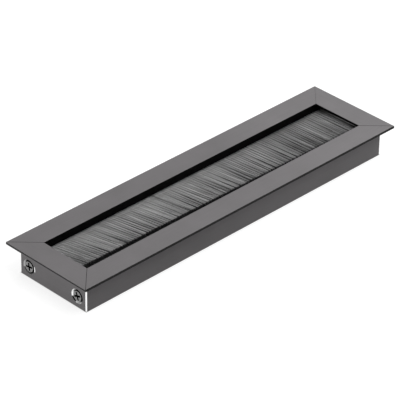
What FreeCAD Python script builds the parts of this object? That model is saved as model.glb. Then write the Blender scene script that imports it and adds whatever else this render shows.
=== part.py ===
"""Rectangular desk cable grommet.

Four extruded aluminium profiles make a low frame that drops into a cut-out in a desk top. Their flanges
are mitred at the corners and lie on the desk. A strip brush sits in a groove of the far profile and closes
the opening, except for a slot along the near side that cables pass through.

The origin is the middle of the frame's underside. X runs along the frame, +Y points to the profile that
holds the brush, and +Z points up through the opening. Lengths are millimetres.
"""

import FreeCAD, Part

import math
import os
import random

import Sketcher

# Driving sizes. Each alias is a cell of the sheet, and every piece below is bound to these cells.
SIZES = {
    # Frame
    "overall_length": 250.0,
    "overall_width": 65.0,
    "overall_height": 20.0,
    "flange_width": 15.0,
    "flange_thickness": 1.5,
    "flange_overhang": 5.5,
    "side_wall_thickness": 1.5,
    "end_wall_thickness": 1.5,
    "web_thickness": 1.2,
    "mitre_gap": 0.15,
    "flange_edge_radius": 0.25,
    "wall_corner_break": 0.8,
    # Brush groove and the strip brush in it
    "brush_depth": 6.5,
    "backing_height": 3.5,
    "backing_sheet": 0.5,
    "backing_fold_radius": 0.9,
    "groove_clearance": 0.1,
    "mouth_clearance": 0.15,
    "packing_clearance": 0.05,
    "brush_end_clearance": 0.3,
    "core_wire_diameter": 1.0,
    "bristle_spread": 1.0,
    "cable_slot_left": 8.2,
    "cable_slot_right": 5.4,
    "bristle_unevenness": 0.6,
    "bristle_lean": 7.0,
    "tuft_pitch": 2.2,
    "tuft_gap": 0.7,
    "tuft_gap_depth": 10.0,
    "shallow_tuft_gap_depth": 6.0,
    # Screws, whose heads sit in wider countersinks; the inset is from the frame's inner face
    "screw_inset": 2.2,
    "screw_depth": 13.0,
    "screw_length": 16.0,
    "screw_shank_diameter": 3.1,
    "screw_point_length": 1.5,
    "screw_head_diameter": 6.8,
    "screw_head_chamfer": 0.25,
    "screw_sink": 0.05,
    "seat_clearance": 0.1,
    "countersink_diameter": 9.0,
    "screw_hole_diameter": 4.5,
    "recess_width": 1.1,
    "recess_span": 4.8,
    "recess_floor_span": 1.4,
    "recess_depth": 1.8,
    "recess_overrun": 0.2,
    # Ports that the screws cut their threads in
    "thread_clearance": 0.1,
    "port_wall": 1.15,
    "port_slot": 1.6,
}

# How far a cutting outline runs past the stock that it cuts.
SAW_OVERRUN = 2.0

# Where sketches start before their corners are solved: points on a circle of this radius.
START_RADIUS = 10.0

# Each screw's own turn about its axis, in degrees, as it came to rest when it was driven in.
SCREW_TURNS = {
    "left_near": 19.0,
    "left_far": 8.0,
    "right_near": 63.0,
    "right_far": 25.0,
}

# One seed keeps the uneven bristle tips the same each time that the model is built.
BRISTLE_SEED = 11

Z_AXIS = FreeCAD.Vector(0, 0, 1)


def make_sheet(doc):
    """Put the driving sizes in a sheet, one alias for each, and then the places that follow from them."""
    sheet = doc.addObject("Spreadsheet::Sheet", "Sizes")
    rows = list(SIZES.items())
    derived = {
        # Across the frame, from its middle line
        "lip_edge": "=overall_width / 2 - flange_width",
        "side_face": "=overall_width / 2 - flange_overhang",
        "side_wall_inside": "=side_face - side_wall_thickness",
        # Along the frame, from its middle
        "end_lip_edge": "=overall_length / 2 - flange_width",
        "end_face": "=overall_length / 2 - flange_overhang",
        "end_wall_inside": "=end_face - end_wall_thickness",
        # Up from the underside
        "flange_underside": "=overall_height - flange_thickness",
        "brush_level": "=overall_height - brush_depth",
        "screw_level": "=overall_height - screw_depth",
        # Groove, seen in section
        "root_thickness": "=backing_height - 2 * backing_sheet - 2 * packing_clearance",
        "mouth_half": "=root_thickness / 2 + mouth_clearance",
        "groove_half": "=backing_height / 2 + groove_clearance",
        "groove_front": "=lip_edge + web_thickness",
        "backing_front": "=groove_front + groove_clearance",
        "backing_back": "=side_wall_inside - groove_clearance",
        "wire_place": "=backing_back - backing_height / 2",
        "brush_half_length": "=end_wall_inside - brush_end_clearance",
        # Screws and ports
        "screw_place": "=lip_edge + screw_inset",
        "head_radius": "=screw_head_diameter / 2",
        "shank_radius": "=screw_shank_diameter / 2",
        "head_height": "=countersink_diameter / 2 - head_radius - seat_clearance - screw_sink",
        "port_radius": "=shank_radius + thread_clearance",
        "port_half": "=port_radius + port_wall",
    }
    for row, (alias, value) in enumerate(rows + list(derived.items()), start=1):
        cell = "B" + str(row)
        sheet.set("A" + str(row), alias)
        sheet.set(cell, str(value))
        sheet.setAlias(cell, alias)
    doc.recompute()
    return sheet


def origin_plane(body, role):
    """Find one of a body's own origin planes."""
    return next(plane for plane in body.Origin.OriginFeatures if plane.Role == role)


def make_sketch(body, name, role, lift=None):
    """Attach a sketch to one of the body's origin planes, lifted off it along its normal where that is asked."""
    sketch = body.newObject("Sketcher::SketchObject", name)
    sketch.AttachmentSupport = [(origin_plane(body, role), "")]
    sketch.MapMode = "FlatFace"
    if lift:
        sketch.setExpression("AttachmentOffset.Base.z", lift)
    return sketch


def hold_point(sketch, geometry, point, across, up):
    """Hold one point of a sketch at two distances from the sketch's origin, each an expression."""
    for kind, place in (("DistanceX", across), ("DistanceY", up)):
        index = sketch.addConstraint(Sketcher.Constraint(kind, -1, 1, geometry, point, 1.0))
        sketch.setExpression("Constraints[%d]" % index, place)


def draw_outline(sketch, corners):
    """Draw a closed outline of straight edges whose corners are pairs of expressions."""
    first = sketch.GeometryCount
    turn = 2 * math.pi / len(corners)
    start = [
        FreeCAD.Vector(START_RADIUS * math.cos(turn * i), START_RADIUS * math.sin(turn * i), 0)
        for i in range(len(corners))
    ]
    for i, point in enumerate(start):
        sketch.addGeometry(Part.LineSegment(point, start[(i + 1) % len(start)]), False)
    for i in range(len(corners)):
        following = first + (i + 1) % len(corners)
        sketch.addConstraint(Sketcher.Constraint("Coincident", first + i, 2, following, 1))
    for i, (across, up) in enumerate(corners):
        hold_point(sketch, first + i, 1, across, up)


def draw_circle(sketch, across, up, radius):
    """Draw a circle whose centre and radius are expressions."""
    index = sketch.addGeometry(Part.Circle(FreeCAD.Vector(0, 0, 0), Z_AXIS, 1.0), False)
    hold_point(sketch, index, 3, across, up)
    constraint = sketch.addConstraint(Sketcher.Constraint("Radius", index, 1.0))
    sketch.setExpression("Constraints[%d]" % constraint, radius)


def pad_both_ways(body, name, sketch, length):
    """Pad a sketch by half the length to each side of its plane."""
    pad = body.newObject("PartDesign::Pad", name)
    pad.Profile = sketch
    pad.SideType = "Symmetric"
    pad.setExpression("Length", length)
    return pad


def pocket(body, name, sketch, depth, upward=False, both_ways=False):
    """Cut a sketch's outlines away, below its plane, above it, or to both sides."""
    cut = body.newObject("PartDesign::Pocket", name)
    cut.Profile = sketch
    if both_ways:
        cut.SideType = "Symmetric"
    cut.Reversed = upward
    cut.setExpression("Length", depth)
    return cut


def edge_names(shape, wanted):
    """Name the edges whose two ends pass a test together."""
    names = []
    for i, edge in enumerate(shape.Edges, start=1):
        ends = [vertex.Point for vertex in edge.Vertexes]
        if len(ends) == 2 and wanted(ends[0], ends[1]):
            names.append("Edge%d" % i)
    return names


def round_edges(doc, body, name, base, radius, wanted):
    """Round the edges of a feature whose ends pass a test."""
    doc.recompute()
    fillet = body.newObject("PartDesign::Fillet", name)
    fillet.Base = (base, edge_names(base.Shape, wanted))
    fillet.setExpression("Radius", radius)
    return fillet


def close_to(a, b):
    """Say whether two lengths are the same, as far as the modeller keeps them."""
    return abs(a - b) < 1e-5


# Long profiles

def make_long_profile(doc, sheet, name, turn):
    """The extrusion along one long side: its flange and its wall are mitred, and the rest is sawn straight."""
    body = doc.addObject("PartDesign::Body", name)
    body.Label = name
    section = make_sketch(body, name + "_section", "YZ_Plane")
    draw_outline(section, [
        # Inner face, down to the mouth of the brush groove
        ("Sizes.lip_edge", "Sizes.overall_height"),
        ("Sizes.lip_edge", "Sizes.brush_level + Sizes.mouth_half"),
        ("Sizes.groove_front", "Sizes.brush_level + Sizes.mouth_half"),
        # Round the groove
        ("Sizes.groove_front", "Sizes.brush_level + Sizes.groove_half"),
        ("Sizes.side_wall_inside", "Sizes.brush_level + Sizes.groove_half"),
        ("Sizes.side_wall_inside", "Sizes.brush_level - Sizes.groove_half"),
        ("Sizes.groove_front", "Sizes.brush_level - Sizes.groove_half"),
        ("Sizes.groove_front", "Sizes.brush_level - Sizes.mouth_half"),
        # Inner face below the groove, and round the open screw port
        ("Sizes.lip_edge", "Sizes.brush_level - Sizes.mouth_half"),
        ("Sizes.lip_edge", "Sizes.screw_level - Sizes.port_half"),
        ("Sizes.screw_place + Sizes.port_half", "Sizes.screw_level - Sizes.port_half"),
        ("Sizes.screw_place + Sizes.port_half", "Sizes.screw_level - Sizes.port_slot / 2"),
        ("Sizes.screw_place", "Sizes.screw_level - Sizes.port_slot / 2"),
        ("Sizes.screw_place", "Sizes.screw_level + Sizes.port_slot / 2"),
        ("Sizes.screw_place + Sizes.port_half", "Sizes.screw_level + Sizes.port_slot / 2"),
        ("Sizes.screw_place + Sizes.port_half", "Sizes.brush_level - Sizes.groove_half - Sizes.web_thickness"),
        # Rib under the groove, then the outer wall and the flange
        ("Sizes.side_wall_inside", "Sizes.brush_level - Sizes.groove_half - Sizes.web_thickness"),
        ("Sizes.side_wall_inside", "0"),
        ("Sizes.side_face", "0"),
        ("Sizes.side_face", "Sizes.flange_underside"),
        ("Sizes.overall_width / 2", "Sizes.flange_underside"),
        ("Sizes.overall_width / 2", "Sizes.overall_height"),
    ])
    # Chamber between the groove and the flange
    draw_outline(section, [
        ("Sizes.groove_front", "Sizes.brush_level + Sizes.groove_half + Sizes.web_thickness"),
        ("Sizes.side_wall_inside", "Sizes.brush_level + Sizes.groove_half + Sizes.web_thickness"),
        ("Sizes.side_wall_inside", "Sizes.flange_underside"),
        ("Sizes.groove_front", "Sizes.flange_underside"),
    ])
    stock = pad_both_ways(body, name + "_stock", section, "Sizes.overall_length")
    bore = make_sketch(body, name + "_port_circle", "YZ_Plane")
    draw_circle(bore, "Sizes.screw_place", "Sizes.screw_level", "Sizes.port_radius")
    bored = pocket(body, name + "_port", bore, "Sizes.overall_length + %r" % SAW_OVERRUN, both_ways=True)
    mitres = make_sketch(body, name + "_mitre_lines", "XY_Plane", "Sizes.overall_height")
    ends = make_sketch(body, name + "_end_lines", "XY_Plane")
    for side in ("", "-"):
        draw_outline(mitres, [
            (
                "%s(Sizes.end_lip_edge - Sizes.mitre_gap / sqrt(2) - %r)" % (side, SAW_OVERRUN),
                "Sizes.lip_edge - %r" % SAW_OVERRUN,
            ),
            (
                "%s(Sizes.overall_length / 2 - Sizes.mitre_gap / sqrt(2) + %r)" % (side, SAW_OVERRUN),
                "Sizes.overall_width / 2 + %r" % SAW_OVERRUN,
            ),
            (
                "%s(Sizes.overall_length / 2 - Sizes.mitre_gap / sqrt(2) + %r)" % (side, SAW_OVERRUN),
                "Sizes.lip_edge - %r" % SAW_OVERRUN,
            ),
        ])
        draw_outline(ends, [
            ("%sSizes.end_wall_inside" % side, "Sizes.lip_edge - %r" % SAW_OVERRUN),
            ("%s(Sizes.overall_length / 2 + %r)" % (side, SAW_OVERRUN), "Sizes.lip_edge - %r" % SAW_OVERRUN),
            (
                "%s(Sizes.overall_length / 2 + %r)" % (side, SAW_OVERRUN),
                "Sizes.overall_width / 2 + %r" % SAW_OVERRUN,
            ),
            (
                "%s(Sizes.end_face - Sizes.wall_corner_break)" % side,
                "Sizes.overall_width / 2 + %r" % SAW_OVERRUN,
            ),
            ("%s(Sizes.end_face - Sizes.wall_corner_break)" % side, "Sizes.side_face"),
            (
                "%s(Sizes.end_face - Sizes.wall_corner_break / 2)" % side,
                "Sizes.side_face - Sizes.wall_corner_break / 2",
            ),
            ("%sSizes.end_wall_inside" % side, "Sizes.side_wall_inside"),
        ])
    mitred = pocket(body, name + "_mitres", mitres, "Sizes.flange_thickness")
    sawn = pocket(body, name + "_ends", ends, "Sizes.flange_underside", upward=True)
    top = sheet.overall_height
    lines = (sheet.overall_width / 2, sheet.lip_edge)
    rounded = round_edges(
        doc, body, name + "_flange_edges", sawn, "Sizes.flange_edge_radius",
        lambda a, b: close_to(a.z + b.z, 2 * top) and any(close_to(a.y, y) and close_to(b.y, y) for y in lines),
    )
    body.Placement = FreeCAD.Placement(FreeCAD.Vector(0, 0, 0), FreeCAD.Rotation(Z_AXIS, turn))
    return body, [stock, bored, mitred, sawn, rounded]


# End profiles

def make_end_profile(doc, sheet, name, turn):
    """The profile across one end: a mitred flange on a mitred wall, with two countersunk holes."""
    body = doc.addObject("PartDesign::Body", name)
    body.Label = name
    section = make_sketch(body, name + "_section", "XZ_Plane")
    draw_outline(section, [
        ("Sizes.end_lip_edge", "Sizes.overall_height"),
        ("Sizes.end_lip_edge", "Sizes.flange_underside"),
        ("Sizes.end_wall_inside", "Sizes.flange_underside"),
        ("Sizes.end_wall_inside", "0"),
        ("Sizes.end_face", "0"),
        ("Sizes.end_face", "Sizes.flange_underside"),
        ("Sizes.overall_length / 2", "Sizes.flange_underside"),
        ("Sizes.overall_length / 2", "Sizes.overall_height"),
    ])
    stock = pad_both_ways(body, name + "_stock", section, "Sizes.overall_width")
    mitres = make_sketch(body, name + "_mitre_lines", "XY_Plane", "Sizes.overall_height")
    sides = make_sketch(body, name + "_side_lines", "XY_Plane")
    for side in ("", "-"):
        draw_outline(mitres, [
            (
                "Sizes.end_lip_edge - %r" % SAW_OVERRUN,
                "%s(Sizes.lip_edge - Sizes.mitre_gap / sqrt(2) - %r)" % (side, SAW_OVERRUN),
            ),
            (
                "Sizes.overall_length / 2 + %r" % SAW_OVERRUN,
                "%s(Sizes.overall_width / 2 - Sizes.mitre_gap / sqrt(2) + %r)" % (side, SAW_OVERRUN),
            ),
            (
                "Sizes.end_lip_edge - %r" % SAW_OVERRUN,
                "%s(Sizes.overall_width / 2 - Sizes.mitre_gap / sqrt(2) + %r)" % (side, SAW_OVERRUN),
            ),
        ])
        draw_outline(sides, [
            ("Sizes.end_lip_edge - %r" % SAW_OVERRUN, "%sSizes.side_wall_inside" % side),
            ("Sizes.end_wall_inside", "%sSizes.side_wall_inside" % side),
            (
                "Sizes.end_face - Sizes.wall_corner_break / 2",
                "%s(Sizes.side_face - Sizes.wall_corner_break / 2)" % side,
            ),
            ("Sizes.end_face", "%s(Sizes.side_face - Sizes.wall_corner_break)" % side),
            (
                "Sizes.overall_length / 2 + %r" % SAW_OVERRUN,
                "%s(Sizes.side_face - Sizes.wall_corner_break)" % side,
            ),
            (
                "Sizes.overall_length / 2 + %r" % SAW_OVERRUN,
                "%s(Sizes.overall_width / 2 + %r)" % (side, SAW_OVERRUN),
            ),
            (
                "Sizes.end_lip_edge - %r" % SAW_OVERRUN,
                "%s(Sizes.overall_width / 2 + %r)" % (side, SAW_OVERRUN),
            ),
        ])
    mitred = pocket(body, name + "_mitres", mitres, "Sizes.flange_thickness")
    narrowed = pocket(body, name + "_wall_sides", sides, "Sizes.flange_underside", upward=True)
    centres = make_sketch(body, name + "_hole_centres", "YZ_Plane", "Sizes.end_face")
    for side in ("", "-"):
        draw_circle(centres, "%sSizes.screw_place" % side, "Sizes.screw_level", "Sizes.screw_hole_diameter / 2")
    doc.recompute()
    holes = body.newObject("PartDesign::Hole", name + "_screw_holes")
    holes.Profile = centres
    holes.Threaded = False
    holes.DepthType = "ThroughAll"
    holes.HoleCutType = "Countersink"
    holes.HoleCutCountersinkAngle = 90.0
    holes.setExpression("Diameter", "Sizes.screw_hole_diameter")
    holes.setExpression("HoleCutDiameter", "Sizes.countersink_diameter")
    holes.setExpression("HoleCutDepth", "(Sizes.countersink_diameter - Sizes.screw_hole_diameter) / 2")
    top = sheet.overall_height
    lines = (sheet.overall_length / 2, sheet.end_lip_edge)
    softened = round_edges(
        doc, body, name + "_flange_edges", holes, "Sizes.flange_edge_radius",
        lambda a, b: close_to(a.z + b.z, 2 * top) and any(close_to(a.x, x) and close_to(b.x, x) for x in lines),
    )
    body.Placement = FreeCAD.Placement(FreeCAD.Vector(0, 0, 0), FreeCAD.Rotation(Z_AXIS, turn))
    return body, [stock, mitred, narrowed, holes, softened]


# Strip brush

def make_backing(doc, sheet):
    """The folded steel channel that grips the bristles, open towards the frame's opening."""
    body = doc.addObject("PartDesign::Body", "brush_backing")
    body.Label = "brush_backing"
    section = make_sketch(body, "backing_section", "YZ_Plane")
    half = "Sizes.backing_height / 2"
    inner = "(Sizes.backing_height / 2 - Sizes.backing_sheet)"
    draw_outline(section, [
        ("Sizes.backing_front", "Sizes.brush_level + " + half),
        ("Sizes.backing_front", "Sizes.brush_level + " + inner),
        ("Sizes.backing_back - Sizes.backing_sheet", "Sizes.brush_level + " + inner),
        ("Sizes.backing_back - Sizes.backing_sheet", "Sizes.brush_level - " + inner),
        ("Sizes.backing_front", "Sizes.brush_level - " + inner),
        ("Sizes.backing_front", "Sizes.brush_level - " + half),
        ("Sizes.backing_back", "Sizes.brush_level - " + half),
        ("Sizes.backing_back", "Sizes.brush_level + " + half),
    ])
    strip = pad_both_ways(body, "backing_strip", section, "2 * Sizes.brush_half_length")
    back = sheet.backing_back
    inside = back - sheet.backing_sheet
    outer = round_edges(
        doc, body, "backing_outer_folds", strip, "Sizes.backing_fold_radius",
        lambda a, b: close_to(a.y, back) and close_to(b.y, back) and close_to(a.z, b.z),
    )
    folds = round_edges(
        doc, body, "backing_inner_folds", outer, "Sizes.backing_fold_radius - Sizes.backing_sheet",
        lambda a, b: close_to(a.y, inside) and close_to(b.y, inside) and close_to(a.z, b.z),
    )
    return body, [strip, outer, folds]


def make_core_wire(doc):
    """The wire that the bristles are folded over inside the channel."""
    body = doc.addObject("PartDesign::Body", "brush_core_wire")
    body.Label = "brush_core_wire"
    section = make_sketch(body, "wire_section", "YZ_Plane")
    draw_circle(section, "Sizes.wire_place", "Sizes.brush_level", "Sizes.core_wire_diameter / 2")
    wire = pad_both_ways(body, "wire", section, "2 * Sizes.brush_half_length")
    return body, [wire]


def comb_corners(sheet):
    """Corners of the brush seen from above: a straight root, and uneven tufts with a gap between each two.

    The tufts lean to +X at the left end and stand straight at the right, where they are also longer.
    """
    chance = random.Random(BRISTLE_SEED)
    half = sheet.brush_half_length
    back = sheet.backing_back
    half_gap = sheet.tuft_gap / 2
    count = max(2, round(2 * half / sheet.tuft_pitch))
    width = 2 * half / count
    tufts = []
    for i in range(count):
        left = -half + i * width
        share = (i + 0.5) / count
        lean = sheet.bristle_lean * (1 - share)
        slot = sheet.cable_slot_left + (sheet.cable_slot_right - sheet.cable_slot_left) * share
        tip = -sheet.lip_edge + slot + chance.random() * sheet.bristle_unevenness
        wander = chance.uniform(-half_gap, half_gap) / 2
        tufts.append((left, left + width, lean, tip, wander, chance.random()))
    reach = sheet.lip_edge - tufts[0][3]
    shallow = sheet.shallow_tuft_gap_depth
    corners = [(-half, back), (-half, sheet.lip_edge)]
    for i, (left, right, lean, tip, wander, depth_share) in enumerate(tufts):
        first = i == 0
        last = i == count - 1
        corners.append((left + lean if first else left + lean + half_gap + wander, tip))
        corners.append((right + lean if last else right + lean - half_gap + wander, tip))
        if not last:
            depth = shallow + (sheet.tuft_gap_depth - shallow) * depth_share
            apex_lean = (lean + tufts[i + 1][2]) / 2 * (1 - depth / reach)
            corners.append((right + apex_lean, tip + depth))
    corners += [(half, sheet.lip_edge), (half, back)]
    return corners


def make_bristles(doc, sheet):
    """The bristles as one comb: folded round the core wire, packed at the mouth and fanned out to the tips."""
    half = sheet.brush_half_length
    level = sheet.brush_level
    root_half = sheet.root_thickness / 2
    tip_half = root_half + sheet.bristle_spread / 2
    reach_end = -sheet.lip_edge
    start = -half

    def at(y, z):
        return FreeCAD.Vector(start, y, z)

    # Section across the brush, with a round back where the bristles turn over the wire
    fold_radius = root_half
    fold_top = at(sheet.wire_place, level + fold_radius)
    fold_back = at(sheet.wire_place + fold_radius, level)
    fold_bottom = at(sheet.wire_place, level - fold_radius)
    mouth_top = at(sheet.lip_edge, level + root_half)
    mouth_bottom = at(sheet.lip_edge, level - root_half)
    tip_top = at(reach_end, level + tip_half)
    tip_bottom = at(reach_end, level - tip_half)
    outline = Part.Wire([
        Part.Arc(fold_bottom, fold_back, fold_top).toShape(),
        Part.makeLine(fold_top, mouth_top),
        Part.makeLine(mouth_top, tip_top),
        Part.makeLine(tip_top, tip_bottom),
        Part.makeLine(tip_bottom, mouth_bottom),
        Part.makeLine(mouth_bottom, fold_bottom),
    ])
    fan = Part.Face(outline).extrude(FreeCAD.Vector(2 * half, 0, 0))

    # The same brush seen from above, as tall as the fan and a little more
    floor = level - tip_half - SAW_OVERRUN
    points = [FreeCAD.Vector(x, y, floor) for x, y in comb_corners(sheet)]
    plan = Part.Face(Part.makePolygon(points + points[:1]))
    comb = plan.extrude(FreeCAD.Vector(0, 0, 2 * (tip_half + SAW_OVERRUN)))

    wire_radius = sheet.core_wire_diameter / 2 + sheet.packing_clearance
    wire_bore = Part.makeCylinder(
        wire_radius, 2 * half, at(sheet.wire_place, level), FreeCAD.Vector(1, 0, 0),
    )
    bristles = doc.addObject("Part::Feature", "brush_bristles")
    bristles.Label = "brush_bristles"
    bristles.Shape = fan.common(comb).cut(wire_bore).Solids[0]
    return bristles


# Screws

def make_screw(doc):
    """One thread-forming pan-head screw, its axis along X and its head's face at X = 0, facing +X."""
    body = doc.addObject("PartDesign::Body", "screw_pattern")
    section = make_sketch(body, "screw_section", "XZ_Plane")
    draw_outline(section, [
        ("0", "0"),
        ("0", "Sizes.head_radius - Sizes.screw_head_chamfer"),
        ("-Sizes.screw_head_chamfer", "Sizes.head_radius"),
        ("-Sizes.head_height", "Sizes.head_radius"),
        ("-Sizes.head_height", "Sizes.shank_radius"),
        ("-(Sizes.screw_length - Sizes.screw_point_length)", "Sizes.shank_radius"),
        ("-Sizes.screw_length", "Sizes.shank_radius / 2"),
        ("-Sizes.screw_length", "0"),
    ])
    turned = body.newObject("PartDesign::Revolution", "screw_turned")
    turned.Profile = section
    turned.ReferenceAxis = (section, ["H_Axis"])
    turned.Angle = 360.0
    cuts = []
    for role in ("XZ_Plane", "XY_Plane"):
        arm = make_sketch(body, "recess_in_" + role, role)
        draw_outline(arm, [
            ("Sizes.recess_overrun", "Sizes.recess_span / 2"),
            ("Sizes.recess_overrun", "-Sizes.recess_span / 2"),
            ("-Sizes.recess_depth", "-Sizes.recess_floor_span / 2"),
            ("-Sizes.recess_depth", "Sizes.recess_floor_span / 2"),
        ])
        cuts.append(pocket(body, "recess_arm_" + role, arm, "Sizes.recess_width", both_ways=True))
    return body, [turned] + cuts


def make_end_screws(doc, screw):
    """Four of the screws, two through each end profile into the ports of the long profiles."""
    placed = []
    for name, turn in SCREW_TURNS.items():
        end = -1 if name.startswith("left") else 1
        side = -1 if name.endswith("near") else 1
        link = doc.addObject("App::Link", "screw_" + name)
        link.LinkedObject = screw
        face_in = FreeCAD.Rotation(Z_AXIS, 0 if end > 0 else 180)
        driven = FreeCAD.Rotation(FreeCAD.Vector(1, 0, 0), turn)
        link.Placement = FreeCAD.Placement(FreeCAD.Vector(0, 0, 0), face_in.multiply(driven))
        link.setExpression("Placement.Base.x", "%d * (Sizes.end_face - Sizes.screw_sink)" % end)
        link.setExpression("Placement.Base.y", "%d * Sizes.screw_place" % side)
        link.setExpression("Placement.Base.z", "Sizes.screw_level")
        placed.append(link)
    group = doc.addObject("Part::Compound", "end_screws")
    group.Label = "end_screws"
    group.Links = placed
    return group


# Checks and export

def check_features(features):
    """Stop where a feature changed nothing, as a cut does that points away from the solid."""
    for before, after in zip(features, features[1:]):
        if close_to(before.Shape.Volume, after.Shape.Volume):
            raise RuntimeError("%s changes nothing" % after.Name)


def check_document(doc, nodes):
    """Stop where an object failed or a sub-part is not a sound solid."""
    for item in doc.Objects:
        if "Invalid" in item.State or "Error" in item.State:
            raise RuntimeError("%s is in state %s" % (item.Name, item.State))
    for node in nodes:
        shape = node.Shape
        if shape.isNull() or not shape.isValid() or not shape.Solids:
            raise RuntimeError("%s is not a sound solid" % node.Label)


def main():
    doc = FreeCAD.newDocument("desk_cable_grommet")
    sheet = make_sheet(doc)
    nodes = []
    histories = []
    for name, turn in (("long_profile_far", 0), ("long_profile_near", 180)):
        body, history = make_long_profile(doc, sheet, name, turn)
        nodes.append(body)
        histories.append(history)
    for name, turn in (("end_profile_right", 0), ("end_profile_left", 180)):
        body, history = make_end_profile(doc, sheet, name, turn)
        nodes.append(body)
        histories.append(history)
    for body, history in (make_backing(doc, sheet), make_core_wire(doc)):
        nodes.append(body)
        histories.append(history)
    nodes.append(make_bristles(doc, sheet))
    screw, history = make_screw(doc)
    histories.append(history)
    nodes.append(make_end_screws(doc, screw))
    doc.recompute()
    for history in histories:
        check_features(history)
    check_document(doc, nodes)
    os.makedirs("parts", exist_ok=True)
    for node in nodes:
        node.Shape.exportStep("parts/%s.step" % node.Label)
        box = node.Shape.BoundBox
        print("%-20s solids %d  volume %9.2f  X %8.2f %8.2f  Y %7.2f %7.2f  Z %6.2f %6.2f" % (
            node.Label, len(node.Shape.Solids), node.Shape.Volume,
            box.XMin, box.XMax, box.YMin, box.YMax, box.ZMin, box.ZMax,
        ))


main()
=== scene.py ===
"""Looks of the desk cable grommet: satin grey frame, blackened screws and a strip brush of nylon filaments.

Lengths are millimetres, which MM turns into Blender's metres, but the studio's are metres as they stand. Places are
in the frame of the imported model: X runs along the frame, +Y points to the profile that holds the brush, and +Z
points up through the opening.
"""

import math

import bpy
import numpy as np
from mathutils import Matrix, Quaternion, Vector


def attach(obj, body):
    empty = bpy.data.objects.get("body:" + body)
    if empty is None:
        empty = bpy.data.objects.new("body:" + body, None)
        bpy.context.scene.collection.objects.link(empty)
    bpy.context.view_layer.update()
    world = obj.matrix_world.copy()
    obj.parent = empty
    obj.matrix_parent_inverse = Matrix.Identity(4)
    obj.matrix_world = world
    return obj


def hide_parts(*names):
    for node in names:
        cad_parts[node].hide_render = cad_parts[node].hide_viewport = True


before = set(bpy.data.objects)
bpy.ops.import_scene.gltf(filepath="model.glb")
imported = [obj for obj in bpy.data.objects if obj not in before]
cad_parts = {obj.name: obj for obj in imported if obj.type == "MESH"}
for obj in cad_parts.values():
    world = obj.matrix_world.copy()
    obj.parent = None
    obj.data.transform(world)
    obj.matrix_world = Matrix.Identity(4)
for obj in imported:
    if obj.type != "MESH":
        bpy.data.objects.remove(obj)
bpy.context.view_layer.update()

MM = 0.001

# Frame and screws
HALF_LENGTH = 125.0
HALF_WIDTH = 32.5
TOP = 20.0
FLANGE_UNDERSIDE = 18.5
END_LIP = 110.0
SIDE_LIP = 17.5
END_FACE = 119.5
END_WALL = 1.5
SIDE_FACE = 27.0
CORNER_BREAK = 0.8
SCREW_PLACE = 19.7
SCREW_LEVEL = 7.0
COUNTERSINK_RADIUS = 4.5

# How far inside the flange's outline its dark edge starts, and where it is at its full strength
EDGE_START = 0.22
EDGE_FULL = 0.1

# Half the width of the bare strip on each upright corner
STRIP_HALF = 0.62

# Grey of the cut metal round the countersinks, from one side through below, the other side and above: painted
# reflections and painted shade
NEAR_COUNTERSINK_SHADING = (
    (0.05, 0.95), (0.07, 0.02), (0.19, 0.02), (0.21, 0.9), (0.39, 0.9), (0.42, 0.02), (0.78, 0.02), (0.8, 0.95),
)
FAR_COUNTERSINK_SHADING = ((0.05, 0.4), (0.07, 0.13), (0.4, 0.13), (0.42, 0.02), (0.78, 0.02), (0.8, 0.4))

# Angles in degrees by which the screws' crosses are turned
LEFT_CROSSES = {"near": 19, "far": 8}
RIGHT_CROSSES = {"near": 27, "far": -25}

# Dark strips in the mitres of the flange, as painted shade of the joints
JOINT_WIDTH = 0.14
JOINT_INSET = 0.3
JOINT_LOW = FLANGE_UNDERSIDE + 0.1
JOINT_HIGH = TOP - 0.12

# The brush as a whole: its level, its root in the groove, and the line that its tips follow
BRUSH_LEVEL = 13.5
BRUSH_HALF_LENGTH = 117.6
ROOT_DEPTH = 18.6
ROOT_HALF = 1.05
TIP_HALF = 1.45
TIP_LINE_LEFT = -8.9
TIP_LINE_RIGHT = -12.4
TIP_LINE_BOW = 0.3
TIP_UNEVENNESS = 0.6
TIP_WAVE = 0.2
TIP_WAVE_PITCH = 6
LEAN_LEFT = 7.0
LEAN_WAVE = 0.5
LEAN_WAVE_PITCH = 14
BRUSH_SEED = 20

# Filaments
FILAMENTS_PER_PIECE = 5600
FILAMENT_RADIUS = 0.14
FILAMENT_TAPER = 0.8
FILAMENT_SIDES = 3
FILAMENT_RINGS = 5
FILAMENT_STRAY = 0.15
FILAMENT_BOW = 0.15
FILAMENT_SAG = 0.1
WILD_SHARE = 0.05
WILD_STRAY = 5

# Strands, and the tufts that the brush is parted into
STRANDS = 600
STRAND_WIDTHS = (0.7, 1.2)
STRAND_HEIGHT = 0.16
STRAND_STRAY = 0.28
TUFTS = 200
TUFT_WIDTHS = (2.0, 8.0)
TUFT_CLOSING = 0.1
TUFT_SWAY = 0.12

# Soft lights of the studio: name, place, the point that each faces, its side in metres and its power in watts
PANELS = (
    ("overhead_panel", (0.5, 0.1, 0.75), (0, 0, 0), 0.9, 4.3),
    ("front_panel", (-0.05, -0.4, 0.9), (0, 0, 0), 0.5, 3.6),
    ("right_panel", (0.5, -0.45, 0.3), (0.1, 0, 0), 0.4, 0.55),
    ("left_panel", (-0.95, 0.3, 0.2), (-0.1, 0, 0), 0.36, 3.6),
)

# Half the floor's side and how far it lies below the frame, in metres, then its own glow and the room's plain light
FLOOR_HALF = 3.0
FLOOR_DROP = 0.0001
FLOOR_GLOW = 0.8
ROOM_LIGHT = 0.26


# Node materials

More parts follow.
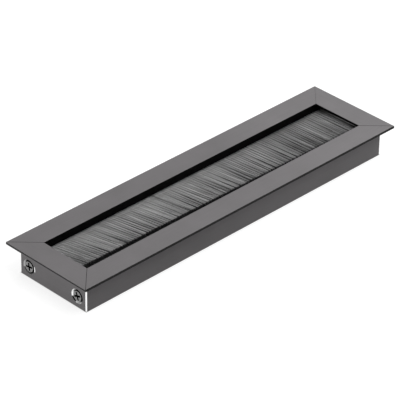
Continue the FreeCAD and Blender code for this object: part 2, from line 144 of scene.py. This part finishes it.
class Shader:
    """A small helper that adds nodes to one material and links them. A share is a value between 0 and 1."""

    def __init__(self, name):
        self.material = bpy.data.materials.new(name)
        self.material.use_nodes = True
        self.tree = self.material.node_tree
        self.surface = self.tree.nodes["Principled BSDF"]
        self.coordinates = None

    def node(self, kind, **settings):
        made = self.tree.nodes.new(kind)
        for key, value in settings.items():
            setattr(made, key, value)
        return made

    def feed(self, socket, value):
        """Link the socket to another one, or set its own number or colour."""
        if isinstance(value, bpy.types.NodeSocket):
            self.tree.links.new(value, socket)
        else:
            socket.default_value = value

    def put(self, name, value):
        """Feed the surface's input of that name."""
        self.feed(self.surface.inputs[name], value)

    def place(self):
        """The three object coordinates."""
        if self.coordinates is None:
            self.coordinates = self.node("ShaderNodeTexCoord").outputs["Object"]
            self.axes = self.node("ShaderNodeSeparateXYZ")
            self.feed(self.axes.inputs[0], self.coordinates)
        return self.axes.outputs[0], self.axes.outputs[1], self.axes.outputs[2]

    def across(self):
        """How far a point is from the middle along X and along Y."""
        x, y, _ = self.place()
        return self.math("ABSOLUTE", x), self.math("ABSOLUTE", y)

    def math(self, operation, a, b=0.0, c=0.0, clamp=False):
        made = self.node("ShaderNodeMath", operation=operation, use_clamp=clamp)
        for socket, value in zip(made.inputs, (a, b, c)):
            self.feed(socket, value)
        return made.outputs[0]

    def both(self, a, b):
        return self.math("MULTIPLY", a, b)

    def either(self, a, b):
        return self.math("MAXIMUM", a, b)

    def opposite(self, share):
        return self.math("SUBTRACT", 1.0, share)

    def step(self, value, start, end):
        """0 before start, 1 after end, and a smooth slope between them."""
        made = self.node("ShaderNodeMapRange", interpolation_type="SMOOTHSTEP", clamp=True)
        self.feed(made.inputs["Value"], value)
        made.inputs["From Min"].default_value = start
        made.inputs["From Max"].default_value = end
        return made.outputs[0]

    def past(self, length, start, end):
        """The same step for a length, with start and end in millimetres."""
        return self.step(length, start * MM, end * MM)

    def near_to(self, length, middle, reach):
        """1 where a length is within reach of the middle, both in millimetres, and 0 elsewhere."""
        return self.math("COMPARE", length, middle * MM, reach * MM)

    def mix(self, share, a, b):
        """Number a where share is 0, number b where it is 1."""
        made = self.node("ShaderNodeMix", data_type="FLOAT")
        self.feed(made.inputs["Factor"], share)
        self.feed(made.inputs["A"], a)
        self.feed(made.inputs["B"], b)
        return made.outputs["Result"]

    def blend(self, share, a, b):
        """Colour a where share is 0, colour b where it is 1."""
        made = self.node("ShaderNodeMix", data_type="RGBA")
        self.feed(made.inputs["Factor"], share)
        self.feed(made.inputs["A"], a)
        self.feed(made.inputs["B"], b)
        return made.outputs["Result"]

    def ramp(self, value, stops):
        """Grey levels at places between 0 and 1, with straight slopes between them."""
        made = self.node("ShaderNodeValToRGB")
        colours = made.color_ramp.elements
        while len(colours) < len(stops):
            colours.new(0.5)
        for colour, (place, level) in zip(colours, stops):
            colour.position = place
            colour.color = grey(level)
        self.feed(made.inputs[0], value)
        return made.outputs["Color"]

    def noise(self, scale, stretch=(1, 1, 1), detail=2.0, roughness=0.5):
        self.place()
        mapping = self.node("ShaderNodeMapping")
        mapping.inputs["Scale"].default_value = stretch
        self.feed(mapping.inputs["Vector"], self.coordinates)
        made = self.node("ShaderNodeTexNoise")
        self.feed(made.inputs["Vector"], mapping.outputs[0])
        made.inputs["Scale"].default_value = scale
        made.inputs["Detail"].default_value = detail
        made.inputs["Roughness"].default_value = roughness
        return made.outputs["Fac"]

    def bump(self, height, strength, distance):
        """Roughen the surface's normal, over a distance in millimetres."""
        made = self.node("ShaderNodeBump")
        made.inputs["Strength"].default_value = strength
        made.inputs["Distance"].default_value = distance * MM
        self.feed(made.inputs["Height"], height)
        self.put("Normal", made.outputs["Normal"])

    def round_screw(self):
        """Distance from the axis of the nearest screw, and the angle round it as a share of a turn."""
        _, y, z = self.place()
        side = self.math("SUBTRACT", self.math("MULTIPLY", self.math("SIGN", y), SCREW_PLACE * MM), y)
        up = self.math("SUBTRACT", z, SCREW_LEVEL * MM)
        squares = self.math("ADD", self.math("MULTIPLY", side, side), self.math("MULTIPLY", up, up))
        turn = self.math("MULTIPLY_ADD", self.math("ARCTAN2", up, side), 1 / (2 * math.pi), 0.5)
        return self.math("SQRT", squares), turn

    def far_side(self):
        """0 on the near half of the grommet, 1 on the far half."""
        _, y, _ = self.place()
        return self.past(y, -1.0, 1.0)


def grey(value, red=0.0, blue=0.0):
    """A grey, with its red and blue raised by a share of it."""
    return (value * (1 + red), value, value * (1 + blue), 1.0)


# Anodised frame

def on_flange(shader):
    """1 on the flange above its underside, and 0 on the walls."""
    _, _, z = shader.place()
    return shader.past(z, FLANGE_UNDERSIDE + 0.05, FLANGE_UNDERSIDE + 0.1)


def faint_mitre_shade(shader):
    """1 at the far right mitre, where the painted shade of the joint is fainter than at the others, and 0 at these."""
    x, y, _ = shader.place()
    return shader.both(shader.past(x, 0, 20), shader.past(y, 0, 10))


def anodised_skin(shader, lines, grain):
    """Clouds, die lines and grain in two greys, both made a little lighter towards the right end as painted light."""
    x, _, _ = shader.place()
    clouds = shader.noise(45, detail=3.0)
    mottle = shader.math("MULTIPLY_ADD", lines, 0.25, shader.math("MULTIPLY", grain, 0.25))
    mottle = shader.step(shader.math("MULTIPLY_ADD", clouds, 0.5, mottle), 0.3, 0.7)
    skin = shader.blend(mottle, grey(0.149, 0.04, 0.02), grey(0.171, 0.05, 0.03))
    lighter = shader.blend(mottle, grey(0.168, 0.04, 0.02), grey(0.192, 0.05, 0.03))

    # Painted light: the right end is lighter, more so on the flange than on the walls
    right_end = shader.both(shader.past(x, 20, 80), shader.mix(on_flange(shader), 0.4, 1.0))
    return shader.blend(right_end, skin, lighter)


def flange_edge_shade(shader, along):
    """The flange's outer edge, painted near-black as painted shade: all of it on the long profiles, and a narrower
    band on the end profiles.
    """
    across_x, across_y = shader.across()
    edge_x = shader.past(across_x, HALF_LENGTH - EDGE_START, HALF_LENGTH - EDGE_FULL)
    edge_y = shader.past(across_y, HALF_WIDTH - EDGE_START, HALF_WIDTH - EDGE_FULL)
    edge = shader.either(edge_x, edge_y)
    if along == "Y":
        _, _, z = shader.place()
        above = shader.past(z, FLANGE_UNDERSIDE + 0.3, FLANGE_UNDERSIDE + 0.4)
        below = shader.opposite(shader.past(z, TOP - 0.25, TOP - 0.15))
        edge = shader.both(edge, shader.both(above, below))
    return edge


def mitre_shade_lines(shader):
    """A line of painted shade along each mitre of the flange but the far right one."""
    across_x, across_y = shader.across()
    off = shader.math("SUBTRACT", across_x, across_y)
    off = shader.math("ABSOLUTE", shader.math("SUBTRACT", off, (HALF_LENGTH - HALF_WIDTH) * MM))
    line = shader.both(shader.opposite(shader.past(off, 0.18, 0.26)), shader.opposite(faint_mitre_shade(shader)))
    return shader.both(line, on_flange(shader))


def opening_shade(shader, along):
    """The profile's faces round the opening, up to the flange's top, which are painted black as painted shade."""
    across_x, across_y = shader.across()
    _, _, z = shader.place()
    if along == "Y":
        inside = shader.opposite(shader.past(across_x, END_LIP + 0.05, END_LIP + 0.15))
    else:
        inside = shader.opposite(shader.past(across_y, SIDE_LIP + 0.05, SIDE_LIP + 0.15))
    return shader.both(inside, shader.opposite(shader.past(z, TOP - 0.2, TOP - 0.05)))


def corner_strips(shader):
    """The bare bevels on the upright corners under the flange."""
    across_x, across_y = shader.across()
    _, _, z = shader.place()
    bevel = END_FACE + SIDE_FACE - CORNER_BREAK
    corner = shader.past(shader.math("ADD", across_x, across_y), bevel - 0.08, bevel - 0.02)
    middle = shader.near_to(shader.math("SUBTRACT", across_x, across_y), END_FACE - SIDE_FACE, STRIP_HALF)
    under = shader.opposite(shader.past(z, FLANGE_UNDERSIDE - 0.03, FLANGE_UNDERSIDE - 0.01))
    return shader.both(shader.both(corner, middle), under)


def countersinks(shader):
    """Where the countersinks are, their colour of bare metal with painted reflections and painted shade swept round in
    turn, and two painted highlights beside them.
    """
    across_x, _ = shader.across()
    _, y, _ = shader.place()
    off, turn = shader.round_screw()
    wall_inside = END_FACE - END_WALL
    in_wall = shader.past(across_x, wall_inside + 0.05, wall_inside + 0.1)

    hole = shader.opposite(shader.past(off, COUNTERSINK_RADIUS - 0.02, COUNTERSINK_RADIUS + 0.05))
    # The rings' greys are painted reflections and painted shade, darker round the far screws
    near = shader.ramp(turn, NEAR_COUNTERSINK_SHADING)
    far = shader.ramp(turn, FAR_COUNTERSINK_SHADING)
    countersink_shading = shader.blend(shader.far_side(), near, far)

    # Painted highlight: a bare bright patch beside each far countersink
    painted_glint = shader.near_to(off, COUNTERSINK_RADIUS + 0.25, 0.35)
    painted_glint = shader.both(painted_glint, shader.math("COMPARE", turn, 0.51, 0.055))
    painted_glint = shader.both(painted_glint, shader.both(shader.past(y, 0, 1), in_wall))
    return shader.both(hole, in_wall), countersink_shading, painted_glint


def aluminium(name, along):
    """Grey anodised extrusion, with its die lines along one axis, and bare metal where it was cut."""
    shader = Shader(name)
    lines = shader.noise(1400, stretch=(0.02, 1, 1) if along == "X" else (1, 0.02, 1), detail=2.0)
    grain = shader.noise(2600, detail=2.0, roughness=0.7)
    edge = flange_edge_shade(shader, along)
    inside = opening_shade(shader, along)
    skin = anodised_skin(shader, lines, grain)
    # Painted shade: the flange's outer edge is near-black
    skin = shader.blend(edge, skin, grey(0.004))
    # Painted shade: a dark line along the mitres
    skin = shader.blend(mitre_shade_lines(shader), skin, grey(0.03))
    # Painted shade: the faces round the opening are black
    skin = shader.blend(inside, skin, grey(0.002))

    hole, countersink_shading, painted_glint = countersinks(shader)
    strip = shader.either(corner_strips(shader), painted_glint)
    bare = shader.either(strip, hole)
    cut_marks = shader.noise(5000, stretch=(1, 1, 0.1), detail=1.0)
    metal = shader.blend(cut_marks, grey(0.96), grey(1.0))
    metal = shader.blend(hole, metal, countersink_shading)
    shader.put("Base Color", shader.blend(bare, skin, metal))

    # A metallic share takes the sheen off the black faces, and more than half of it off the long profiles' edge
    dark = inside
    if along == "X":
        dark = shader.either(inside, shader.math("MULTIPLY", edge, 0.6))
    shader.put("Metallic", shader.either(bare, dark))

    rough = shader.mix(shader.step(grain, 0.3, 0.7), 0.42, 0.52)
    rough = shader.mix(strip, rough, 0.15)
    shader.put("Roughness", shader.mix(hole, rough, 0.3))
    shader.put("Specular IOR Level", 0.2)
    shader.bump(shader.math("ADD", grain, shader.math("MULTIPLY", lines, 0.5)), 0.12, 0.05)
    return shader.material


# Screws, brush and mitre shade

def blackened_steel():
    """Screws: grey oxide on the heads' faces, and black as painted shade in the crosses and below the faces."""
    shader = Shader("screw_black_oxide")
    clouds = shader.noise(900, detail=3.0)
    grain = shader.noise(6000, detail=2.0)
    x, _, _ = shader.place()
    off, turn = shader.round_screw()
    far = shader.far_side()
    left = shader.mix(far, math.radians(LEFT_CROSSES["near"]), math.radians(LEFT_CROSSES["far"]))
    right = shader.mix(far, math.radians(RIGHT_CROSSES["near"]), math.radians(RIGHT_CROSSES["far"]))
    turned = shader.mix(shader.past(x, -1, 1), left, right)

    # Distance across and along the nearest arm of the cross
    angle = shader.math("SUBTRACT", shader.math("MULTIPLY_ADD", turn, 2 * math.pi, -math.pi), turned)
    angle = shader.math("PINGPONG", angle, math.pi / 4)
    across = shader.math("MULTIPLY", off, shader.math("SINE", angle))
    along = shader.math("MULTIPLY", off, shader.math("COSINE", angle))
    off_cross = shader.either(shader.past(across, 0.58, 0.72), shader.past(along, 2.5, 2.8))
    below_face = shader.opposite(shader.past(shader.across()[0], END_FACE - 0.1, END_FACE - 0.07))

    # Painted shade: the crosses and everything below the faces are black
    colour = shader.blend(clouds, grey(0.2), grey(0.3))
    colour = shader.blend(off_cross, grey(0.004), colour)
    colour = shader.blend(below_face, colour, grey(0.004))
    shader.put("Base Color", colour)
    shader.put("Metallic", shader.mix(shader.math("SUBTRACT", off_cross, below_face), 1.0, 0.35))
    shader.put("Roughness", shader.mix(grain, 0.3, 0.5))
    shader.bump(grain, 0.2, 0.03)
    return shader.material


def zinc_steel():
    """Brush backing: zinc-plated strip with rolling lines."""
    shader = Shader("backing_zinc")
    clouds = shader.noise(300, detail=4.0)
    lines = shader.noise(2500, stretch=(0.02, 1, 1), detail=2.0)
    shader.put("Base Color", shader.blend(clouds, grey(0.45), grey(0.62)))
    shader.put("Metallic", 0.9)
    shader.put("Roughness", shader.mix(lines, 0.3, 0.5))
    shader.bump(lines, 0.15, 0.03)
    return shader.material


def drawn_wire():
    """Core wire: drawn steel, with lines along it."""
    shader = Shader("core_wire_drawn")
    lines = shader.noise(6000, stretch=(0.01, 1, 1), detail=2.0)
    shader.put("Base Color", shader.blend(lines, grey(0.4), grey(0.6)))
    shader.put("Metallic", 0.95)
    shader.put("Roughness", shader.mix(lines, 0.25, 0.45))
    shader.bump(lines, 0.1, 0.02)
    return shader.material


def nylon():
    """Brush filaments: black nylon with a soft gloss, each filament a little lighter or darker."""
    shader = Shader("brush_nylon")
    parts = shader.node("ShaderNodeSeparateXYZ")
    shader.feed(parts.inputs[0], shader.node("ShaderNodeTexCoord").outputs["UV"])
    light, along = parts.outputs[0], parts.outputs[1]
    x, _, _ = shader.place()
    right_end = shader.past(x, -10, 80)
    patches = shader.noise(900, stretch=(1, 0.1, 1), detail=2.0)

    # The filaments differ more, and are darker as a whole, towards their tips
    spread = shader.math("MULTIPLY_ADD", along, 0.75, 0.5)
    # Painted shade: the level is a little lower at the right end
    level = shader.mix(right_end, 0.53, 0.505)
    level = shader.math("MULTIPLY_ADD", shader.step(along, 0.4, 1.0), -0.25, level)
    tone = shader.math("MULTIPLY_ADD", shader.math("SUBTRACT", light, 0.5), spread, level)
    tone = shader.math("MULTIPLY_ADD", patches, 0.1, shader.math("SUBTRACT", tone, 0.05))
    colour = shader.blend(shader.math("MAXIMUM", tone, 0.0, clamp=True), grey(0.01), grey(0.55))

    # Painted light on the half near the root, against the far lip's shadow, less of it at the right end
    root_lift = shader.both(shader.opposite(shader.step(along, 0.05, 0.6)), shader.mix(right_end, 1.0, 0.15))
    amount = shader.math("MULTIPLY_ADD", light, 0.7, 0.26)
    colour = shader.blend(shader.both(root_lift, amount), colour, grey(0.44))

    # Painted light: a lighter band close to the root
    root = shader.both(shader.opposite(shader.step(along, 0.06, 0.2)), shader.step(along, 0.05, 0.085))
    root = shader.both(root, shader.mix(right_end, 0.4, 0.15))
    colour = shader.blend(root, colour, grey(0.9))

    # Painted shade on the cut ends, fainter at the right end
    cut = shader.both(shader.step(along, 0.985, 1.0), shader.mix(right_end, 1.0, 0.2))
    shader.put("Base Color", shader.blend(cut, colour, grey(0.01)))
    shader.put("Roughness", shader.mix(patches, 0.32, 0.5))
    shader.put("Specular IOR Level", 0.6)
    shader.bump(shader.noise(8000, detail=1.0), 0.1, 0.02)
    return shader.material


def joint_shade():
    """Painted shade in the mitres: a dark line in each, which is grey in the far right one."""
    shader = Shader("mitre_joint_shade")
    clouds = shader.noise(800, detail=2.0)
    colour = shader.blend(clouds, grey(0.008), grey(0.016))
    shader.put("Base Color", shader.blend(faint_mitre_shade(shader), colour, grey(0.08)))
    shader.put("Roughness", 0.7)
    return shader.material


# Pieces that only the scene has

def smooth_walk(chance, places, pitch):
    """A random value that changes steadily along X, between -1 and 1."""
    knots = np.arange(-BRUSH_HALF_LENGTH - 3 * pitch, BRUSH_HALF_LENGTH + 4 * pitch, pitch)
    return np.interp(places, knots, chance.uniform(-1, 1, len(knots)))


def filament_lines(chance, start, end):
    """Points along each filament, from its root in the groove to its tip, in millimetres, and how light it is."""
    count = FILAMENTS_PER_PIECE
    root = start + (np.arange(count) + chance.uniform(0, 1, count)) / count * (end - start)
    share = (root + BRUSH_HALF_LENGTH) / (2 * BRUSH_HALF_LENGTH)

    # Strands of some filaments that lie together: light ones lie higher than the dark ones between them
    edges = -BRUSH_HALF_LENGTH + np.cumsum(chance.uniform(*STRAND_WIDTHS, STRANDS)) - STRAND_WIDTHS[1]
    strand = np.searchsorted(edges, root)
    light_or_dark = np.where(np.arange(STRANDS + 1) % 2 == 0, 1.0, -1.0)
    contrast = (light_or_dark * chance.uniform(0.4, 1.0, STRANDS + 1))[strand]
    contrast = contrast * np.interp(share, (0.0, 0.15), (0.6, 1.0))
    strand_stray = chance.normal(0, STRAND_STRAY, STRANDS + 1)[strand]

    # Painted shade makes the brush darker to the right, and painted light makes its last filaments lighter
    tone = 0.47 + 0.44 * contrast + chance.uniform(-0.12, 0.12, count) + 0.12 * share - 0.34 * share ** 2
    tone = tone + np.interp(share, (0.93, 0.98), (0.0, 0.35))

    # Tufts of uneven width, which close up a little towards their tips
    edges = -BRUSH_HALF_LENGTH + np.concatenate([[0], np.cumsum(chance.uniform(*TUFT_WIDTHS, TUFTS))])
    tuft = np.searchsorted(edges, root) - 1
    middle = (edges[tuft] + edges[tuft + 1]) / 2
    closing = chance.uniform(0.0, TUFT_CLOSING, TUFTS + 1)[tuft]
    sway = chance.normal(0, TUFT_SWAY, TUFTS + 1)[tuft]

    # Most filaments lie at the upper and lower faces of the fan, and the lower ones are painted darker, as painted
    # shade
    layer = chance.uniform(-1, 1, count)
    layer = np.sign(layer) * np.abs(layer) ** 0.4
    tone = np.clip(np.where(layer < 0, 0.2 * tone, tone), 0, 1)

    # The lean fades towards the right, and a few filaments stray far
    lean = LEAN_LEFT * (1 - share) + LEAN_WAVE * smooth_walk(chance, root, LEAN_WAVE_PITCH)
    stray = chance.normal(0, FILAMENT_STRAY, count)
    stray = np.where(chance.uniform(0, 1, count) < WILD_SHARE, stray * WILD_STRAY, stray)
    tip_y = TIP_LINE_LEFT + (TIP_LINE_RIGHT - TIP_LINE_LEFT) * share + TIP_LINE_BOW * 4 * share * (1 - share)
    tip_y = tip_y + chance.uniform(0, TIP_UNEVENNESS, count) ** 1.5
    tip_y = tip_y + TIP_WAVE * smooth_walk(chance, root, TIP_WAVE_PITCH)
    bow = chance.normal(0, FILAMENT_BOW, count)
    sag = chance.uniform(-FILAMENT_SAG, FILAMENT_SAG, count)

    lines = []
    for t in np.linspace(0, 1, FILAMENT_RINGS):
        x = root + (lean + stray + strand_stray + sway) * t + bow * t * (1 - t)
        x = x + (middle - root) * closing * t ** 2
        x = np.clip(x, -BRUSH_HALF_LENGTH, BRUSH_HALF_LENGTH)
        y = ROOT_DEPTH + (tip_y - ROOT_DEPTH) * t
        half = ROOT_HALF + (TIP_HALF - ROOT_HALF) * t
        z = BRUSH_LEVEL + layer * half + sag * math.sin(math.pi * t) + STRAND_HEIGHT * contrast * t
        lines.append(np.stack([x, y, z], axis=1))
    return np.stack(lines, axis=1), tone


def filament_piece(name, seed, start, end):
    """One half of the brush as a mesh of thin closed tubes."""
    chance = np.random.default_rng(seed)
    lines, tone = filament_lines(chance, start, end)
    count, rings, _ = lines.shape
    sides = FILAMENT_SIDES

    # Corners of each ring, square to its filament
    turn = chance.uniform(0, 2 * math.pi, count)
    ahead = np.gradient(lines, axis=1)
    ahead = ahead / np.linalg.norm(ahead, axis=2, keepdims=True)
    side = np.cross(ahead, (0, 0, 1))
    side = side / np.linalg.norm(side, axis=2, keepdims=True)
    up = np.cross(side, ahead)
    taper = np.linspace(1.0, FILAMENT_TAPER, rings)[None, :, None]
    points = np.zeros((count, rings, sides, 3))
    for i in range(sides):
        angle = (turn + 2 * math.pi * i / sides)[:, None, None]
        points[:, :, i, :] = lines + FILAMENT_RADIUS * taper * (np.cos(angle) * side + np.sin(angle) * up)
    points = points.reshape(-1, 3) * MM

    # Four-sided faces between the rings, and a cap at each end
    first = (np.arange(count) * rings * sides)[:, None]
    quads = []
    for ring in range(rings - 1):
        a = ring * sides
        for i in range(sides):
            j = (i + 1) % sides
            quads.append(first + np.array([[a + i, a + j, a + sides + j, a + sides + i]]))
    last = (rings - 1) * sides
    caps = [first + np.array([[2, 1, 0]]), first + np.array([[last, last + 1, last + 2]])]
    mesh = bpy.data.meshes.new(name)
    mesh.from_pydata(points, [], np.concatenate(quads).tolist() + np.concatenate(caps).tolist())
    mesh.validate()

    # U is how light each filament is, and V runs from root to tip
    filament = np.arange(len(points)) // (rings * sides)
    along = (np.arange(len(points)) // sides) % rings / (rings - 1)
    corners = np.zeros(len(mesh.loops), dtype=np.int64)
    mesh.loops.foreach_get("vertex_index", corners)
    layer = mesh.uv_layers.new(name="filaments")
    layer.data.foreach_set("uv", np.stack([tone[filament[corners]], along[corners]], axis=1).ravel())
    mesh.shade_smooth()
    piece = bpy.data.objects.new(name, mesh)
    bpy.context.scene.collection.objects.link(piece)
    return piece


def mitre_joints():
    """Four upright dark strips that fill the mitres of the flange, as one mesh, as painted shade of the joints."""
    points = []
    faces = []
    for sign_x in (-1, 1):
        for sign_y in (-1, 1):
            first = len(points)
            for along in (JOINT_INSET, HALF_LENGTH - END_LIP - JOINT_INSET):
                for off in (-JOINT_WIDTH, JOINT_WIDTH):
                    across = off / 2 / math.sqrt(2)
                    for z in (JOINT_LOW, JOINT_HIGH):
                        x = END_LIP + along + across
                        y = SIDE_LIP + along - across
                        points.append((sign_x * x * MM, sign_y * y * MM, z * MM))
            for face in ((0, 1, 3, 2), (4, 6, 7, 5), (0, 4, 5, 1), (2, 3, 7, 6), (0, 2, 6, 4), (1, 5, 7, 3)):
                faces.append([first + i for i in (face if sign_x * sign_y > 0 else face[::-1])])
    mesh = bpy.data.meshes.new("mitre_joints")
    mesh.from_pydata(points, [], faces)
    mesh.materials.append(joint_shade())
    piece = bpy.data.objects.new("mitre_joints", mesh)
    bpy.context.scene.collection.objects.link(piece)
    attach(piece, "root")


# Dress the nodes and add the pieces

def dress(node, material):
    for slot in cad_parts[node].material_slots:
        slot.material = material


long_aluminium = aluminium("long_profile_anodised", "X")
end_aluminium = aluminium("end_profile_anodised", "Y")
dress("long_profile_far", long_aluminium)
dress("long_profile_near", long_aluminium)
dress("end_profile_left", end_aluminium)
dress("end_profile_right", end_aluminium)
dress("end_screws", blackened_steel())
dress("brush_backing", zinc_steel())
dress("brush_core_wire", drawn_wire())

filament_material = nylon()
for name, seed, start, end in (
    ("brush_filaments_left", BRUSH_SEED, -BRUSH_HALF_LENGTH, 0.0),
    ("brush_filaments_right", BRUSH_SEED + 1, 0.0, BRUSH_HALF_LENGTH),
):
    piece = filament_piece(name, seed, start, end)
    piece.data.materials.append(filament_material)
    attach(piece, "root")
    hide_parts("brush_bristles")

mitre_joints()


# Studio

def floor_material():
    """Pale floor: white round the grommet, plain matt under it, and its shadow shows on both."""
    shader = Shader("floor_paper")
    across_x, across_y = shader.across()
    outside = shader.either(
        shader.past(across_x, END_FACE - 0.5, END_FACE + 0.5), shader.past(across_y, SIDE_FACE - 0.5, SIDE_FACE + 0.5)
    )
    path = shader.node("ShaderNodeLightPath")
    seen = shader.either(path.outputs["Is Camera Ray"], path.outputs["Is Glossy Ray"])
    seen = shader.either(seen, path.outputs["Is Transmission Ray"])
    paper = shader.noise(60, detail=3.0)
    shader.put("Base Color", shader.blend(paper, grey(0.34), grey(0.36)))
    shader.put("Roughness", 1.0)
    shader.put("Specular IOR Level", 0.0)
    shader.put("Emission Color", (1, 1, 1, 1))
    shader.put("Emission Strength", shader.math("MULTIPLY", shader.both(seen, outside), FLOOR_GLOW))
    return shader.material


def add_floor():
    half = FLOOR_HALF
    mesh = bpy.data.meshes.new("floor")
    mesh.from_pydata([(-half, -half, 0), (half, -half, 0), (half, half, 0), (-half, half, 0)], [], [(0, 1, 2, 3)])
    floor = bpy.data.objects.new("floor", mesh)
    floor.location.z = -FLOOR_DROP
    bpy.context.scene.collection.objects.link(floor)
    mesh.materials.append(floor_material())


def add_room():
    """White where the camera sees it, and a plain soft light on the grommet."""
    world = bpy.data.worlds.new("studio")
    bpy.context.scene.world = world
    world.use_nodes = True
    tree = world.node_tree
    background = tree.nodes["Background"]
    path = tree.nodes.new("ShaderNodeLightPath")
    seen = tree.nodes.new("ShaderNodeMath")
    seen.operation = "MAXIMUM"
    tree.links.new(path.outputs["Is Camera Ray"], seen.inputs[0])
    tree.links.new(path.outputs["Is Transmission Ray"], seen.inputs[1])
    level = tree.nodes.new("ShaderNodeMapRange")
    level.inputs["To Min"].default_value = ROOM_LIGHT
    level.inputs["To Max"].default_value = 1.0
    tree.links.new(seen.outputs[0], level.inputs["Value"])
    tree.links.new(level.outputs[0], background.inputs["Strength"])
    background.inputs["Color"].default_value = (1, 1, 1, 1)


def add_panel(name, place, aim, size, power):
    light = bpy.data.lights.new(name, "AREA")
    light.shape = "SQUARE"
    light.size = size
    light.energy = power
    lamp = bpy.data.objects.new(name, light)
    lamp.location = place
    lamp.rotation_euler = (Vector(aim) - Vector(place)).to_track_quat("-Z", "Y").to_euler()
    bpy.context.scene.collection.objects.link(lamp)


def add_camera():
    """The photograph's camera: a long lens that looks down on the near left corner."""
    data = bpy.data.cameras.new("camera")
    data.sensor_width = 36.0
    data.lens = 239.678
    data.clip_end = 20.0
    eye = bpy.data.objects.new("camera", data)
    eye.rotation_mode = "QUATERNION"
    eye.location = (-0.922739, -0.906212, 0.835693)
    eye.rotation_quaternion = Quaternion((0.81252527, 0.44117766, -0.18900636, -0.33081952))
    bpy.context.scene.collection.objects.link(eye)
    bpy.context.scene.camera = eye


add_floor()
add_room()
for panel in PANELS:
    add_panel(*panel)
add_camera()
bpy.context.scene.view_settings.view_transform = "Standard"

bpy.context.view_layer.update()
